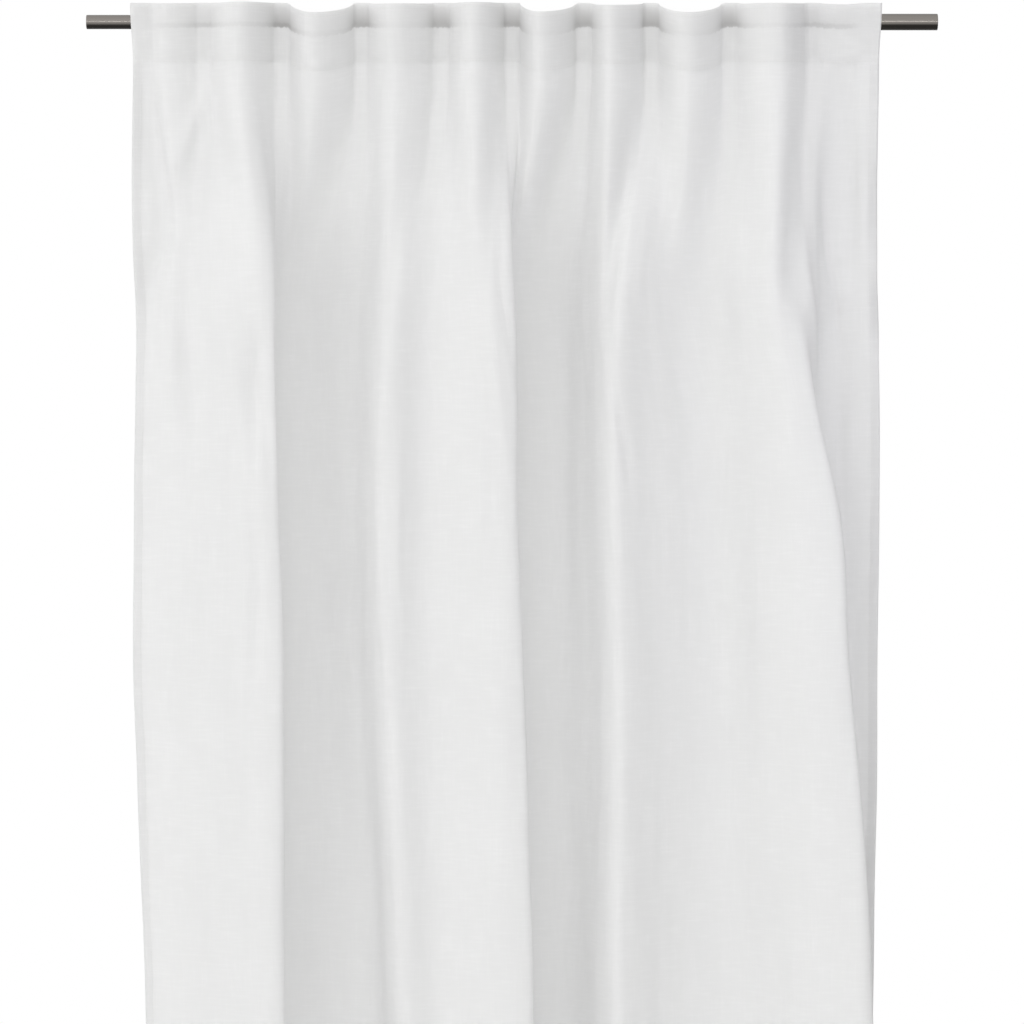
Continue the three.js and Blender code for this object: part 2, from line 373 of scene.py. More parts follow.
def hung(across, height):
    """The middle of the cloth as it hangs in its folds, before its small creases."""
    below = np.maximum(TAPE_BOTTOM - height, 0)
    x = np.where(across < FLAT_WIDTH / 2, across - HUNG_HALF, across - FLAT_WIDTH + HUNG_HALF)
    y = np.full_like(across, CLOTH_LINE)
    z = height.astype(float)
    fade = np.interp(across, (TAB_LINES[:-1] + TAB_LINES[1:]) / 2, BOW_REACH) * MM
    for i, (start, end, depth, cloth) in enumerate(BOWS):
        flat = np.abs(across - TAB_LINES[i]) <= TAB_HALF
        x = np.where(flat, TAB_PLACES[i] + across - TAB_LINES[i], x)
        inside = (across > cloth[0]) & (across < cloth[-1])
        share = np.interp(across, cloth, BOW_SHARES)
        faded = ease(below / (BOW_REACH[i] * MM))
        rise = swell(share, 1)
        bow = swell(share, bow_round(share) * (1 - faded) + BOW_NARROW * faded)
        x = np.where(inside, start + (end - start) * share - BOW_LEAN[i] * MM * rise, x)
        y = np.where(inside, CLOTH_LINE - depth * BOW_FULL[i] * bow, y)
        sag = BOW_SAG[i] * MM * swell(share, SAG_ROUND) * (1 - faded)
        z = np.where(inside, z - sag, z)
    settled = ease(below / fade)
    folds = from_drop(across, height)
    x = x * (1 - settled) + folds[..., 0] * settled
    y = y * (1 - settled) + folds[..., 1] * settled
    x += DRIFT * crumple(across, height, *DRIFT_WAVES) * ease(below / DRIFT_FROM)
    flare = CORNER_FLARE * ease((height - TAPE_BOTTOM) / (TOP_EDGE - TAPE_BOTTOM))
    x += flare * (hump(FLAT_WIDTH - across, FLARE_WIDTH) - hump(across, FLARE_WIDTH))
    return np.stack((x, y, z), axis=-1)


# Creases and dents: (across, height) down their length, then width and how far they stand out, all
# in mm. A hollow stands out by less than nothing.
CREASES = {
    "left edge hollow": ([(17, -60), (34, -160), (50, -270), (24, -350), (16, -470)], 20, -13.6),
    "left ridge": ([(132, -66), (92, -140), (58, -225)], 14, 5),
    "hollow beside it": ([(142, -58), (128, -200), (104, -320)], 16, -3.2),
    "shaded hollow": ([(1338, -52), (1345, -190), (1350, -360)], 38, -22),
    "long dimple": ([(78, -350), (78, -450), (88, -580)], 15, -6),
    "dimple's rim": ([(62, -380), (55, -500)], 6, 2.7),
    "dent in the first fold": ([(182, -410), (171, -495), (182, -590)], 15, -10.2),
    "dent's crease": ([(186, -450), (178, -540), (190, -640)], 5, 2.7),
    "first fold's side": ([(168, -620), (176, -760), (170, -930)], 9, -3.1),
    "middle crease": ([(652, -330), (640, -480), (652, -600)], 8, 3.4),
    "middle side": ([(668, -240), (662, -380), (672, -520)], 6, -3.1),
    "ridge crease": ([(948, -380), (940, -520), (952, -640)], 7, -3.1),
    "second ridge's crease": ([(505, -560), (498, -700), (508, -860)], 6, 2.4),
    "hook": ([(1272, -270), (1276, -380), (1292, -500)], 17, 10.2),
    "hook's line": ([(1318, -190), (1336, -310), (1350, -470)], 9, -6),
    "line beside it": ([(1330, -250), (1348, -360), (1352, -440)], 5, 3.1),
    "right side's long crease": ([(1352, -420), (1346, -600), (1352, -820)], 8, -3.4),
    "edge turned back": ([(1400, -190), (1400, -330)], 12, -11.9),
    "edge turned back again": ([(1400, -345), (1400, -450)], 10, -10.2),
}

LOOSE_FROM = 0.15  # how far below the tape the cloth hangs quite loose
HELD_SHARE = 0.35  # how much of the small waves is left where the tape holds the cloth
# Waves of the cloth: how far they stand out in mm, then their width, tallness and seed.
BROAD_WAVES = (1.4, 0.09, 0.5, 3)
SMALL_WAVES = (0.45, 0.034, 0.16, 11)
FINE_WAVES = (0.16, 0.017, 0.07, 23)
# Puckers along a seam: pitch, the length over which the pitch wanders, and how much it does.
SEAM_PUCKERS = (0.013, 0.045, 1.6)
SIDE_PUCKERS = (0.016, 0.06, 1.9)
# Seams: the edge and the stitches that hold it, how far the puckers stand out and the stitches pull
# in, in mm, and how far from the seam each of the two fades out.
LEVEL_SEAMS = [
    (TAPE_TOP, TAPE_SEAMS[0], 0.216, 0.3, 0.008, 0.004),
    (TAPE_BOTTOM, TAPE_SEAMS[1], 0.36, 0.6, 0.012, 0.004),
    (HEM_TOP, HEM_SEAM, 0.25, 0.4, 0.012, 0.004),
]
SIDE_SEAMS = (SIDE_HEM, SIDE_SEAM, 0.2, 0.3, 0.008, 0.0025)


def waves(across, height, rise, *kind):
    """How far one kind of wave stands out, in mm."""
    return rise * crumple(across, height, *kind)


def pucker(along, pitch, wander, unevenness):
    """Puckers from -1 to 1 along a seam."""
    return np.sin(2 * math.pi * along / pitch + unevenness * np.sin(along / wander))


def pulled(place, seam, puckers):
    """How far the cloth stands out beside a seam, in mm."""
    edge, stitched, rise, groove, reach, width = seam
    return rise * puckers * hump(place - edge, reach) - groove * hump(place - stitched, width)


def crease(across, height, path, width, rise):
    """How far one crease stands out, in mm: most at its middle, and nothing at its two ends."""
    places, heights = (np.array(values) * MM for values in zip(*path))
    run = np.clip((heights[0] - height) / (heights[0] - heights[-1]), 0, 1)
    nearest = np.clip(-height.ravel(), -heights[0], -heights[-1])
    centre = through(-heights, places[:, None], nearest).reshape(height.shape)
    return rise * np.sin(math.pi * run) ** 0.8 * hump(across - centre, width * MM)


def relief(across, height):
    """How far the cloth stands out towards the room from its folds, in metres."""
    loose = ease(np.maximum(TAPE_BOTTOM - height, 0) / LOOSE_FROM)
    out = loose * waves(across, height, *BROAD_WAVES)
    out += (HELD_SHARE + (1 - HELD_SHARE) * loose) * waves(across, height, *SMALL_WAVES)
    out += waves(across, height, *FINE_WAVES)
    for seam in LEVEL_SEAMS:
        out += pulled(height, seam, pucker(across, *SEAM_PUCKERS))
    for edge in (0, FLAT_WIDTH):
        out += loose * pulled(np.abs(across - edge), SIDE_SEAMS, pucker(height, *SIDE_PUCKERS))
    for path, width, rise in CREASES.values():
        out += crease(across, height, path, width, rise)
    return out * MM


PROBE = 1.5 * MM  # how far to either side a surface is felt for its slope


def facing(surface, across, height):
    """The direction towards the room, square to a surface."""
    right = np.clip(across + PROBE, 0, FLAT_WIDTH)
    left = np.clip(across - PROBE, 0, FLAT_WIDTH)
    sideways = surface(right, height) - surface(left, height)
    upward = surface(across, height + PROBE) - surface(across, height - PROBE)
    normal = np.cross(sideways, upward)
    return normal / np.linalg.norm(normal, axis=-1, keepdims=True)


def creased(across, height):
    """The middle of the cloth with its small creases."""
    return hung(across, height) + facing(hung, across, height) * relief(across, height)[..., None]


def sewn(across, height, depth):
    """A place at a depth behind the middle of the cloth."""
    across, height = np.broadcast_arrays(np.asarray(across, float), np.asarray(height, float))
    depth = np.broadcast_to(np.asarray(depth, float), across.shape)
    return creased(across, height) - facing(creased, across, height) * depth[..., None]


# ---- Meshes ----

def piece(name, vertices, faces, finish, smooth=True):
    """An object made from points and faces, in one finish."""
    mesh = bpy.data.meshes.new(name)
    mesh.from_pydata([tuple(v) for v in vertices], [], [tuple(f) for f in faces])
    mesh.materials.append(finish)
    if smooth:
        mesh.shade_smooth()
    mesh.update()
    made = bpy.data.objects.new(name, mesh)
    bpy.context.scene.collection.objects.link(made)
    return made


def lay_out(made, places):
    """Keep each vertex's place on the flat cloth, for the weave."""
    attribute = made.data.attributes.new("flat_place", "FLOAT_VECTOR", "POINT")
    attribute.data.foreach_set("vector", np.asarray(places, np.float32).ravel())


# How strongly the rod's painted shadow darkens the cloth's colour at each tab, and how strongly the
# painted dark line of its underside does.
TAB_SHADE = [0, 0.22, 1, 1, 1, 1, 1, 1, 1, 0.3, 0]
UNDERSIDE_SHADOW = [0.5, 0.9, 1, 0.4, 0.25, 0.25, 0.25, 0.25, 0.4, 1, 0.8]
ROD_BLUR = 12 * MM  # how far in front of the rod the cloth stops taking its painted shadow
LINE_BLUR = 60 * MM
HEM_COVER = (0.022, 0.02)  # how far in a side hem keeps off the rod's painted shadow, and over how much it then sets in


def paint_rod_shadow(made):
    """Keep how strongly the rod's painted shadow and the painted dark line of its underside darken
    the cloth's colour.
    """
    spots = np.empty(len(made.data.vertices) * 3, np.float32)
    made.data.vertices.foreach_get("co", spots)
    x, y, _ = spots.reshape(-1, 3).T
    gap = np.maximum(-y - ROD_RADIUS, 0)
    hidden, shows_over = HEM_COVER
    inward = ease((HUNG_HALF - np.abs(x) - hidden) / shows_over)
    rod = np.exp(-gap / ROD_BLUR) * np.interp(x, TAB_PLACES, TAB_SHADE) * inward
    line = np.exp(-gap / LINE_BLUR) * np.interp(x, TAB_PLACES, UNDERSIDE_SHADOW) * inward
    attribute = made.data.attributes.new("painted_rod_shadow", "FLOAT_VECTOR", "POINT")
    painted_shadow = np.stack((rod, line, np.zeros_like(rod)), -1)
    attribute.data.foreach_set("vector", painted_shadow.astype(np.float32).ravel())


def slab(name, front, back, finish, front_places):
    """A closed strip of cloth between two grids of points: rows run down, columns run right."""
    rows, columns = front.shape[:2]
    count = rows * columns
    index = np.arange(count).reshape(rows, columns)
    a, b, c, d = index[:-1, :-1], index[1:, :-1], index[1:, 1:], index[:-1, 1:]
    faces = [np.stack((a, b, c, d), -1).reshape(-1, 4)]
    faces.append(np.stack((d, c, b, a), -1).reshape(-1, 4) + count)
    rim = np.concatenate((index[0, :-1], index[:-1, -1], index[-1, :0:-1], index[:0:-1, 0]))
    after = np.roll(rim, -1)
    faces.append(np.stack((rim, after, after + count, rim + count), -1))
    vertices = np.concatenate((front.reshape(-1, 3), back.reshape(-1, 3)))
    made = piece(name, vertices, np.concatenate(faces), finish)
    lay_out(made, np.concatenate((front_places.reshape(-1, 3),) * 2))
    return made


def hang(name, columns, rows, front, back, finish):
    """Hang a flat strip between two depths behind the middle of the cloth."""
    across, height = np.meshgrid(columns, rows)
    places = np.stack((across, np.zeros_like(across), height), -1)
    return slab(name, sewn(across, height, front), sewn(across, height, back), finish, places)


def ruled(start, end, step):
    """Even places from a start to an end, about a step apart."""
    return np.linspace(start, end, max(2, round(abs(end - start) / step) + 1))


def joined(*runs):
    """Several runs of places end to end, each shared place once."""
    return np.concatenate([runs[0]] + [run[1:] for run in runs[1:]])


THREAD_SIDES = 6
# A stitch's rings: how far along it each lies, and its width as a share of the thread's.
STITCH_RINGS = [(0.0, 0.0), (0.1, 0.7), (0.3, 1.0), (0.7, 1.0), (0.9, 0.7), (1.0, 0.0)]
STITCH_DIP = 0.7  # how far a stitch's ends dive into the cloth, in thread radii


def stitches(starts, ends, outward, radius):
    """A row of short stitches, each a spindle from a start to an end: (vertices, faces)."""
    along = ends - starts
    along /= np.linalg.norm(along, axis=1, keepdims=True)
    side = np.cross(along, outward)
    side /= np.linalg.norm(side, axis=1, keepdims=True)
    up = np.cross(side, along)
    turns = np.arange(THREAD_SIDES) * 2 * math.pi / THREAD_SIDES
    spokes = side[:, None] * np.cos(turns)[:, None] + up[:, None] * np.sin(turns)[:, None]
    rings = []
    for share, width in STITCH_RINGS:
        centre = starts + (ends - starts) * share - up * radius * STITCH_DIP * (1 - width)
        if width == 0:
            rings.append(centre[:, None])
        else:
            rings.append(centre[:, None] + spokes * radius * width)
    vertices = np.concatenate(rings, axis=1)
    each = vertices.shape[1]
    last = each - 1 - THREAD_SIDES
    faces = []
    for k in range(THREAD_SIDES):
        n = (k + 1) % THREAD_SIDES
        faces.append((0, 1 + n, 1 + k))
        for base in range(1, last, THREAD_SIDES):
            beyond = base + THREAD_SIDES
            faces.append((base + k, base + n, beyond + n, beyond + k))
        faces.append((last + k, last + n, each - 1))
    total = []
    for s in range(len(starts)):
        total.extend(tuple(v + s * each for v in face) for face in faces)
    return vertices.reshape(-1, 3), total


def sewing_line(start, end, depth, outward):
    """Stitches along a straight line of the flat cloth, on one side of it: (vertices, faces)."""
    start, end = np.array(start), np.array(end)
    count = max(1, round(np.linalg.norm(end - start) / STITCH))
    first = (np.arange(count) + (1 - STITCH_SHARE) / 2) / count
    heads = start + (end - start) * first[:, None]
    tails = start + (end - start) * (first + STITCH_SHARE / count)[:, None]
    out = facing(creased, heads[:, 0], heads[:, 1]) * outward
    ends = [sewn(spots[:, 0], spots[:, 1], depth) for spots in (heads, tails)]
    return stitches(ends[0], ends[1], out, THREAD)


def thread_piece(name, lines, finish):
    """Several rows of stitches as one piece."""
    vertices, faces, count = [], [], 0
    for points, quads in lines:
        vertices.append(points)
        faces.extend(tuple(v + count for v in face) for face in quads)
        count += len(points)
    return piece(name, np.concatenate(vertices), faces, finish)


# ---- Finishes ----

class Channel:
    """A value that varies over a surface. Arithmetic on it adds Math nodes."""

    def __init__(self, nodes, socket):
        self.nodes = nodes
        self.socket = socket

    def _math(self, operation, *terms):
        return self.nodes.add("ShaderNodeMath", {"operation": operation}, dict(enumerate(terms)))

    def __add__(self, other):
        return self._math("ADD", self, other)

    __radd__ = __add__

    def __sub__(self, other):
        return self._math("SUBTRACT", self, other)

    def __rsub__(self, other):
        return self._math("SUBTRACT", other, self)

    def __mul__(self, other):
        return self._math("MULTIPLY", self, other)

    __rmul__ = __mul__


class Nodes:
    """A node tree that is built one call at a time."""

    def __init__(self, tree):
        self.tree = tree
        tree.nodes.clear()

    def add(self, kind, settings, sockets, output=0):
        """A node of a kind: its settings first, then a value or a link for each of its sockets."""
        node = self.tree.nodes.new(kind)
        for key, value in settings.items():
            setattr(node, key, value)
        for key, value in sockets.items():
            if isinstance(value, Channel):
                self.tree.links.new(value.socket, node.inputs[key])
            else:
                node.inputs[key].default_value = value
        return Channel(self, node.outputs[output] if node.outputs else None)

    def scaled(self, vector, scale):
        """A vector whose three parts are each multiplied by their own number."""
        return self.add("ShaderNodeVectorMath", {"operation": "MULTIPLY"}, {0: vector, 1: scale})

    def noise(self, vector, scale, detail=2.0, roughness=0.5):
        """Noise from 0 to 1 over a vector that is first scaled along each axis."""
        sockets = {"Vector": self.scaled(vector, scale), "Scale": 1.0}
        sockets.update({"Detail": detail, "Roughness": roughness})
        return self.add("ShaderNodeTexNoise", {}, sockets)

    def between(self, low, high, channel):
        """The channel's stretch from low to high, as 0 to 1."""
        sockets = {"Value": channel, "From Min": low, "From Max": high}
        return self.add("ShaderNodeMapRange", {"clamp": True}, sockets)

    def tint(self, factor, first, second):
        """A colour mixed from two by a factor."""
        sockets = {0: factor, 6: first, 7: second}
        return self.add("ShaderNodeMix", {"data_type": "RGBA"}, sockets, output=2)

    def part(self, vector, axis):
        """One part of a vector."""
        return self.add("ShaderNodeSeparateXYZ", {}, {0: vector}, output=axis)

    def bump(self, height, strength, distance):
        """A normal that leans as the height does."""
        sockets = {"Height": height, "Strength": strength, "Distance": distance}
        return self.add("ShaderNodeBump", {}, sockets)

    def surface(self, shader):
        """Let the material end in a shader."""
        self.add("ShaderNodeOutputMaterial", {}, {"Surface": shader})


def new_finish(name):
    """A new material and its empty node tree."""
    made = bpy.data.materials.new(name)
    made.use_nodes = True
    return made, Nodes(made.node_tree)


def rgba(red, green, blue):
    return (red, green, blue, 1)


def kept(nodes, name):
    """What a mesh keeps under a name at its vertices."""
    settings = {"attribute_type": "GEOMETRY", "attribute_name": name}
    return nodes.add("ShaderNodeAttribute", settings, {}, output=1)


def own_place(nodes):
    """The place on a piece in its own frame, in metres."""
    return nodes.add("ShaderNodeTexCoord", {}, {}, output=3)


THREAD_RUN = 34  # how far a thread keeps its thickness, in thread widths
LEVEL_SLUB = (40, 3.2)  # how long and how thick a slub is, in thread widths
UPRIGHT_SLUB = (60, 3.4)
CLOUDS = (9, 1, 7)  # patches of finer and coarser cloth to a metre, along each axis
CLOUD_SHARE = 0.25  # how much they count
LEVEL_SLUBS_FROM, UPRIGHT_SLUBS_FROM, SLUBS_TO = 0.46, 0.48, 0.8  # where slubs set in and end
LEVEL_SHARE = 0.6  # how much of the slubs lies in the weft
TONE_RANGE = (0.25, 0.7)  # shades between which the cloth goes from its dark to its light tone
OPEN_RANGE = (0.2, 0.85)  # and those between which it goes from close to open
OPEN_SPREAD = 0.12  # how much more light comes through where it is open
CLOTH_ROUGHNESS = 0.88
# Heights between which the rod's shadow sets in, going up and going down.
SHADOW_EDGE = (-9.5 * MM, -7.5 * MM)
SHADOW_FADE = (22 * MM, -2 * MM)
UNDERSIDE_FADE = (-1 * MM, -4 * MM)  # and the painted dark line of its underside, going down
UNDERSIDE_SHARE = 0.32  # how strong the painted dark line of its underside is next to the rod itself
RAGGED = (160, 1, 40)  # unevenness of the shadow's edge, to a metre
RAGGED_DEPTH = 7 * MM
ROD_SHADOW_TONE = (0.36, 0.35, 0.34)  # colour of the rod's painted shadow on the cloth


def rod_shadow(nodes, place):
    """How strongly the rod's painted shadow darkens the cloth, with a ragged lower edge."""
    behind = kept(nodes, "painted_rod_shadow")
    rod, line = nodes.part(behind, 0), nodes.part(behind, 1)
    ragged = nodes.noise(place, RAGGED, 2.0, 0.6) - 0.5
    height = nodes.part(place, 2)
    edge = height + ragged * RAGGED_DEPTH
    lower_edge = nodes.between(*SHADOW_EDGE, edge)
    fading = nodes.between(*SHADOW_FADE, height)
    underside = nodes.between(*UNDERSIDE_FADE, edge) * lower_edge
    return rod * fading * lower_edge + line * underside * UNDERSIDE_SHARE


def woven(name, light, dark, warp, weft, slub, bump, sheer, shows_through, rod_shade=0.0):
    """Cloth of irregular threads, from its light and dark tones.

    Warp and weft are threads to a metre, slub is how uneven they are, bump is how far they stand
    out, and sheer is how much light comes through, in the tone that it shows.
    """
    made, nodes = new_finish(name)
    place = kept(nodes, "flat_place")
    upright = nodes.noise(place, (warp, 1, warp / THREAD_RUN), 1.0)
    level = nodes.noise(place, (weft / THREAD_RUN, 1, weft), 1.0)
    long, thick = LEVEL_SLUB
    thick_level = nodes.noise(place, (weft / long, 1, weft / thick), 2.0, 0.6)
    long, thick = UPRIGHT_SLUB
    thick_upright = nodes.noise(place, (warp / thick, 1, warp / long), 2.0, 0.6)
    cloudy = nodes.noise(place, CLOUDS, 3.0, 0.6)
    threads = upright * 0.5 + level * 0.5
    level_slubs = nodes.between(LEVEL_SLUBS_FROM, SLUBS_TO, thick_level)
    upright_slubs = nodes.between(UPRIGHT_SLUBS_FROM, SLUBS_TO, thick_upright)
    slubs = level_slubs * LEVEL_SHARE + upright_slubs * (1 - LEVEL_SHARE)
    shade = threads * (1 - slub) + slubs * slub + (cloudy - 0.5) * CLOUD_SHARE
    colour = nodes.tint(nodes.between(*TONE_RANGE, shade), rgba(*dark), rgba(*light))
    # Painted shade: the rod's shadow and the dark line of its underside, as seen through the sheer
    # cloth, darken its colour.
    if rod_shade:
        painted_shadow = rod_shadow(nodes, place)
        colour = nodes.tint(painted_shadow * rod_shade, colour, rgba(*ROD_SHADOW_TONE))
    normal = nodes.bump(threads + slubs * slub, 1.0, bump)
    cloth = nodes.add("ShaderNodeBsdfPrincipled", {}, {
        "Base Color": colour, "Roughness": CLOTH_ROUGHNESS, "Specular IOR Level": 0.18,
        "Sheen Weight": 0.12, "Sheen Roughness": 0.5, "Normal": normal,
    })
    sockets = {"Color": rgba(*shows_through), "Normal": normal}
    glow = nodes.add("ShaderNodeBsdfTranslucent", {}, sockets)
    openness = nodes.between(*OPEN_RANGE, 1 - shade) * OPEN_SPREAD + (sheer - OPEN_SPREAD / 2)
    nodes.surface(nodes.add("ShaderNodeMixShader", {}, {0: openness, 1: cloth, 2: glow}))
    return made


FINE_STREAKS = (5, 1500, 1500)  # brush marks to a metre, along each axis
BROAD_STREAKS = (2, 300, 300)
STREAK_RANGE = (0.35, 0.65)  # streaks between which the steel goes from darker to lighter
STREAK_TONE = 0.8  # how light the darker streaks are, as a share of the steel's tone
GRIT_RANGE = (0.2, 0.8)  # streaks between which it goes from smoother to rougher
GRIT_SPREAD = 0.14
TUBE_SHADE_BAND = (-2.5 * MM, -5.5 * MM)  # heights between which painted shade turns the steel dark
UNDERSIDE_SHADE_TONE = 0.12  # how light the steel still is under the painted shade


def steel(name, tone, rough):
    """Steel brushed along the tube, with painted shade darkening its underside."""
    made, nodes = new_finish(name)
    place = own_place(nodes)
    fine = nodes.noise(place, FINE_STREAKS, 2.0, 0.6)
    broad = nodes.noise(place, BROAD_STREAKS, 2.0, 0.6)
    streaks = fine * 0.6 + broad * 0.4
    darker = tuple(shade * STREAK_TONE for shade in tone)
    underside_shade = tuple(shade * UNDERSIDE_SHADE_TONE for shade in tone)
    colour = nodes.tint(nodes.between(*STREAK_RANGE, streaks), rgba(*darker), rgba(*tone))
    # Painted shade and reflection: the tube's underside is darkened in its colour, not by the
    # lights.
    underside = nodes.between(*TUBE_SHADE_BAND, nodes.part(place, 2))
    colour = nodes.tint(underside, colour, rgba(*underside_shade))
    grit = nodes.between(*GRIT_RANGE, streaks) * GRIT_SPREAD + (rough - GRIT_SPREAD / 2)
    metal = nodes.add("ShaderNodeBsdfPrincipled", {}, {
        "Base Color": colour, "Metallic": 1.0, "Roughness": grit,
        "Normal": nodes.bump(fine, 0.35, 0.02 * MM),
    })
    nodes.surface(metal)
    return made


FIBRES = (2600, 2600, 2600)  # to a metre, along each axis
FIBRE_TONE = 0.86  # how light the thread is between its fibres, as a share of its tone


def spun(name, tone):
    """Sewing thread, twisted from fine fibres."""
    made, nodes = new_finish(name)
    fibres = nodes.noise(own_place(nodes), FIBRES, 2.0, 0.6)
    darker = tuple(shade * FIBRE_TONE for shade in tone)
    colour = nodes.tint(fibres, rgba(*darker), rgba(*tone))
    nodes.surface(nodes.add("ShaderNodeBsdfPrincipled", {}, {
        "Base Color": colour, "Roughness": 0.55, "Sheen Weight": 0.2,
        "Normal": nodes.bump(fibres, 0.5, 0.05 * MM),
    }))
    return made


LINEN = woven(
    "white_linen", (0.95, 0.95, 0.949), (0.88, 0.88, 0.879), warp=1150, weft=1050, slub=0.5,
    bump=0.12 * MM, sheer=0.34, shows_through=(0.95, 0.95, 0.949), rod_shade=0.62,
)
TAPE = woven(
    "heading_tape", (0.95, 0.95, 0.945), (0.82, 0.82, 0.812), warp=700, weft=1500, slub=0.2,
    bump=0.2 * MM, sheer=0.62, shows_through=(0.95, 0.95, 0.945),
)
RIBBON = woven(
    "tab_ribbon", (0.92, 0.92, 0.91), (0.78, 0.78, 0.765), warp=1300, weft=620, slub=0.15,
    bump=0.25 * MM, sheer=0.4, shows_through=(0.92, 0.92, 0.91),
)
THREAD_FINISH = spun("white_thread", (0.92, 0.92, 0.91))
STEEL = steel("brushed_steel", (0.25, 0.232, 0.215), 0.15)


# ---- Rod ----

TUBE_SIDES = 96
TUBE_STEP = 0.05  # between the rings along a tube


def lip(x, way, inner, outer):
    """Section of a tube's end from its bore to its outside, eased at both edges: (X, radius)."""
    bend = 0.3 * TUBE_LIP
    from_bore = [
        (3 * TUBE_LIP, inner), (TUBE_LIP, inner), (bend, inner + bend), (0, inner + TUBE_LIP),
    ]
    to_outside = [
        (0, outer - TUBE_LIP), (bend, outer - bend), (TUBE_LIP, outer), (3 * TUBE_LIP, outer),
    ]
    return [(x + way * inward, radius) for inward, radius in from_bore + to_outside]


def tube(name, node, finish):
    """A tube in place of a CAD one, with eased lips and a bore."""
    low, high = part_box(node)
    outer = (high.z - low.z) / 2
    inner = outer - TUBE_WALL[node]
    middle = ruled(low.x, high.x, TUBE_STEP)[1:-1]
    section = lip(low.x, 1, inner, outer)
    section.extend((along, outer) for along in middle)
    section.extend(reversed(lip(high.x, -1, inner, outer)))
    section.extend((along, inner) for along in middle[::-1])
    section = np.array(section)
    turns = np.arange(TUBE_SIDES) * 2 * math.pi / TUBE_SIDES
    x = np.repeat(section[:, :1], TUBE_SIDES, axis=1)
    ring = np.stack((x, section[:, 1:] * np.cos(turns), section[:, 1:] * np.sin(turns)), -1)
    index = np.arange(ring.shape[0] * TUBE_SIDES).reshape(-1, TUBE_SIDES)
    beside, after = np.roll(index, -1, axis=1), np.roll(index, -1, axis=0)
    faces = np.stack((index, beside, np.roll(beside, -1, axis=0), after), -1).reshape(-1, 4)
    made = piece(name, ring.reshape(-1, 3), faces, finish)
    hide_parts(node)
    return made


outer_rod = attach(tube("steel_outer_tube", "outer_tube", STEEL), "outer_rod")
inner_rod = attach(tube("steel_inner_tube", "inner_tube", STEEL), "inner_rod")

# ---- Panel ----

COLUMN = 5 * MM
EDGE_COLUMNS = np.array([0, 3, 6.5, 9.5, 11.5, 13, 15]) * MM
TOP_ROW = 2 * MM
TAPE_ROW = 4.3 * MM
HEM_ROW = 9 * MM
# The drop's rows: down to which height they lie how far apart.
UPPER_DROP, UPPER_ROW = -0.4, 7.6 * MM
MIDDLE_DROP, MIDDLE_ROW = -1.4, 15 * MM
LOWER_ROW = 25 * MM


def drop_rows(top, bottom):
    """Heights down the drop, closer together where the folds change faster."""
    return joined(
        ruled(top, UPPER_DROP, UPPER_ROW),
        ruled(UPPER_DROP, MIDDLE_DROP, MIDDLE_ROW),
        ruled(MIDDLE_DROP, bottom, LOWER_ROW),
    )


cloth_columns = joined(
    EDGE_COLUMNS,
    ruled(EDGE_COLUMNS[-1], FLAT_WIDTH - EDGE_COLUMNS[-1], COLUMN),
    FLAT_WIDTH - EDGE_COLUMNS[::-1],
)
bottom_rows = ruled(HEM_TOP, BOTTOM_EDGE, HEM_ROW)
tape_rows = ruled(TAPE_TOP, TAPE_BOTTOM, TAPE_ROW)
cloth_rows = joined(
    ruled(TOP_EDGE, TAPE_TOP, TOP_ROW), tape_rows, drop_rows(TAPE_BOTTOM, HEM_TOP), bottom_rows,
)
half = CLOTH_THICKNESS / 2
cloth = hang("linen_cloth", cloth_columns, cloth_rows, -half, half, LINEN)
paint_rod_shadow(cloth)
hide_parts(*named("cloth_bay_"))

tape_back = LAYER_FRONT + TAPE_THICKNESS
tape_columns = ruled(TAPE_INSET, FLAT_WIDTH - TAPE_INSET, COLUMN)
tape = hang("heading_tape", tape_columns, tape_rows, LAYER_FRONT, tape_back, TAPE)
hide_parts(*named("heading_tape_"))

hem_back = LAYER_FRONT + HEM_THICKNESS
hem_rows = drop_rows(TAPE_BOTTOM - LAYER_GAP, HEM_TOP + LAYER_GAP)
left_columns = EDGE_COLUMNS[:-1]
left_hem = hang("side_hem_left_turned", left_columns, hem_rows, LAYER_FRONT, hem_back, LINEN)
right_columns = FLAT_WIDTH - left_columns[::-1]
right_hem = hang("side_hem_right_turned", right_columns, hem_rows, LAYER_FRONT, hem_back, LINEN)
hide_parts("side_hem_left")
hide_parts("side_hem_right")
bottom_hem = hang("bottom_hem_turned", cloth_columns, bottom_rows, LAYER_FRONT, hem_back, LINEN)
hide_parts(*named("bottom_hem_"))

# ---- Sewing ----

FRONT_THREAD = -(half + THREAD * THREAD_PROUD)
TAPE_THREAD = tape_back + THREAD * THREAD_PROUD
HEM_THREAD = hem_back + THREAD * THREAD_PROUD


def both_sides(start, end, back_depth):
    """A row of stitches as it shows on the front, and as it shows on the back."""
    return [sewing_line(start, end, FRONT_THREAD, 1), sewing_line(start, end, back_depth, -1)]


tape_sewing = thread_piece("tape_stitching", [
    line
    for height in TAPE_SEAMS
    for line in both_sides((TAPE_INSET, height), (FLAT_WIDTH - TAPE_INSET, height), TAPE_THREAD)
], THREAD_FINISH)
side_top, side_bottom = TAPE_BOTTOM - SEAM_END, HEM_TOP + SEAM_END
side_sewing = thread_piece("side_hem_stitching", [
    line
    for across in (SIDE_SEAM, FLAT_WIDTH - SIDE_SEAM)
    for line in both_sides((across, side_top), (across, side_bottom), HEM_THREAD)
], THREAD_FINISH)
bottom_sewing = thread_piece(
    "bottom_hem_stitching",
    both_sides((SEAM_END, HEM_SEAM), (FLAT_WIDTH - SEAM_END, HEM_SEAM), HEM_THREAD),
    THREAD_FINISH,
)

# ---- Back tabs ----

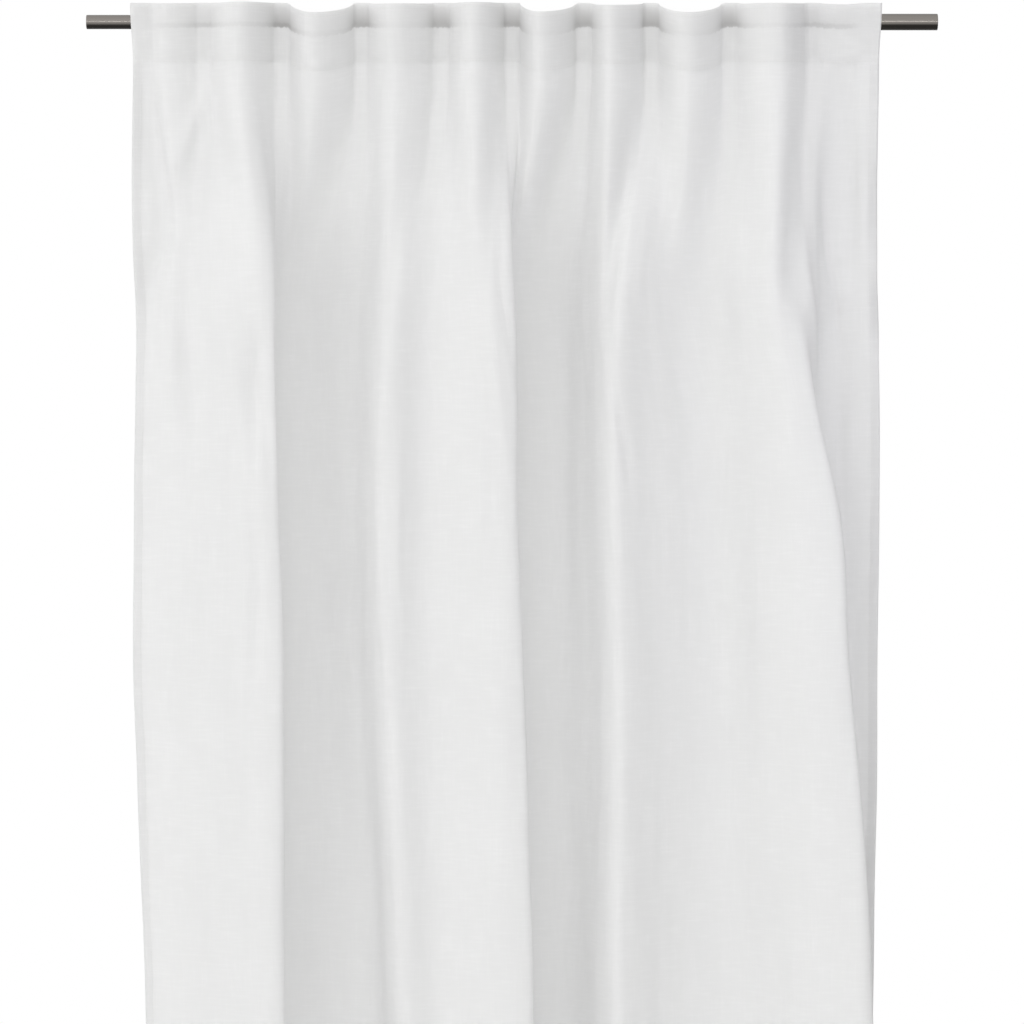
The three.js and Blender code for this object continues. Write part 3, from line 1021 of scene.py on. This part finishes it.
LOOP_RADIUS = ROD_RADIUS + TAB_GAP + TAB_THICKNESS / 2
FOOT_LINE = FOOT_FRONT + TAB_THICKNESS / 2
FOOT = 5 * MM  # length of ribbon that is sewn on above and below the rod
TAB_DROP = 1 * MM  # the tape's top edge to the ribbon's
TAB_BREAKS = 40  # places round the loop
# A ribbon's section: how far from its middle each place is, and how thick it is there, as shares.
RIBBON_ACROSS = np.array([-1, -0.985, -0.93, -0.7, -0.35, 0, 0.35, 0.7, 0.93, 0.985, 1])
RIBBON_THICK = np.array([0.3, 0.72, 1, 0.9, 0.9, 0.9, 0.9, 0.9, 1, 0.72, 0.3])


def tangent(point, side):
    """The angle at which a straight ribbon from a point meets the loop, above or below the rod."""
    return math.atan2(point[1], point[0]) - side * math.acos(LOOP_RADIUS / math.hypot(*point))


def tab_line():
    """Middle line of a tab, over the rod and down its back: (Y, Z)."""
    highest, lowest = TAPE_TOP - TAB_DROP, TABS[0][0].z
    top, upper = (FOOT_LINE, highest), (FOOT_LINE, highest - FOOT)
    lower, bottom = (FOOT_LINE, lowest + FOOT), (FOOT_LINE, lowest)
    over, under = tangent(upper, 1), tangent(lower, -1)
    turns = np.linspace(over, under + (0 if under < over else -2 * math.pi), TAB_BREAKS)
    loop = np.stack((np.cos(turns), np.sin(turns)), -1) * LOOP_RADIUS
    return np.concatenate((
        np.linspace(top, upper, 4), np.linspace(upper, loop[0], 4)[1:-1], loop,
        np.linspace(loop[-1], lower, 9)[1:-1], np.linspace(lower, bottom, 4),
    ))


def back_tab(i, node):
    """A ribbon tab in place of a CAD one."""
    line = tab_line()
    along = np.gradient(line, axis=0)
    along /= np.linalg.norm(along, axis=1, keepdims=True)
    outward = np.stack((-along[:, 1], along[:, 0]), -1)
    x = TAB_PLACES[i] + RIBBON_ACROSS * TAB_HALF
    half_thick = TAB_THICKNESS / 2 * RIBBON_THICK

    def side(way):
        grid = np.empty((len(line), len(x), 3))
        grid[..., 0] = x
        grid[..., 1:] = line[:, None] + outward[:, None] * half_thick[:, None] * way
        return grid

    run = np.repeat(lengths_along(line)[:, None], len(x), axis=1)
    places = np.stack((np.broadcast_to(x, run.shape), np.zeros_like(run), run), -1)
    made = slab(node.replace("back_tab", "ribbon_tab"), side(1), side(-1), RIBBON, places)
    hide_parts(node)
    return made


tabs = [back_tab(i, node) for i, node in enumerate(named("back_tab_"))]

# ---- What moves with what ----

on_the_cloth = [tape, left_hem, right_hem, bottom_hem, tape_sewing, side_sewing, bottom_sewing]
for soft in [cloth, *on_the_cloth]:
    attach(soft, "gather_01")
    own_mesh(soft)
for i, tab in enumerate(tabs):
    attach(tab, f"gather_{i + 1:02d}")
    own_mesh(tab)

# ---- Room ----

FLOOR_GAP = 14 * MM  # floor to bottom edge
FLOOR_RADIUS = 4
FLOOR_SIDES = 128
FLOOR_GRAIN = (3, 3, 3)  # to a metre, along each axis

turns = np.arange(FLOOR_SIDES) * 2 * math.pi / FLOOR_SIDES
rim = np.stack((np.cos(turns), np.sin(turns), np.zeros(FLOOR_SIDES)), -1) * FLOOR_RADIUS
rim += (0, 0, BOTTOM_EDGE - FLOOR_GAP)
floor_finish, nodes = new_finish("pale_floor")
grain = nodes.noise(own_place(nodes), FLOOR_GRAIN, 3.0)
nodes.surface(nodes.add("ShaderNodeBsdfPrincipled", {}, {
    "Base Color": nodes.tint(grain, rgba(0.78, 0.78, 0.77), rgba(0.82, 0.82, 0.81)),
    "Roughness": 0.8,
}))
floor = piece("floor", rim, [tuple(range(FLOOR_SIDES))], floor_finish, smooth=False)

LIT_FROM = (-0.72, -0.62, 0.5)  # where most of the soft light comes from
LIGHT_EVEN = 0.755  # light from all round
LIGHT_SLANT = 0.58  # how much more comes from that side, and less from the other

world = bpy.data.worlds.new("studio")
world.use_nodes = True
bpy.context.scene.world = world
nodes = Nodes(world.node_tree)
direction = nodes.add("ShaderNodeTexCoord", {}, {}, output=0)
dot = {"operation": "DOT_PRODUCT"}
slant = nodes.add("ShaderNodeVectorMath", dot, {0: direction, 1: LIT_FROM}, output=1)
soft_light = nodes.add("ShaderNodeBackground", {}, {
    "Color": rgba(1, 1, 1), "Strength": slant * LIGHT_SLANT + LIGHT_EVEN,
})
backdrop = nodes.add("ShaderNodeBackground", {}, {"Color": rgba(1, 1, 1), "Strength": 1.0})
seen = nodes.add("ShaderNodeLightPath", {}, {}, output=0)
studio = nodes.add("ShaderNodeMixShader", {}, {0: seen, 1: soft_light, 2: backdrop})
nodes.add("ShaderNodeOutputWorld", {}, {"Surface": studio})


def softbox(name, place, aim, size, power, tint):
    """A rectangle of soft light, aimed at a point."""
    light = bpy.data.lights.new(name, "AREA")
    light.shape = "RECTANGLE"
    light.size, light.size_y = size
    light.energy = power
    light.color = tint
    made = bpy.data.objects.new(name, light)
    made.location = place
    towards = Vector(aim) - Vector(place)
    made.rotation_euler = towards.to_track_quat("-Z", "Y").to_euler()
    bpy.context.scene.collection.objects.link(made)


softbox("key", (-0.4, -4.3, 0.3), (0, 0, -0.3), (4.4, 0.2), 16, (1, 1, 1))
softbox("cool_fill", (0.9, -0.42, -0.4), (0.5, 0, -0.4), (0.15, 0.9), 0.22, (0.62, 0.58, 1))

bpy.context.scene.view_settings.view_transform = "Standard"
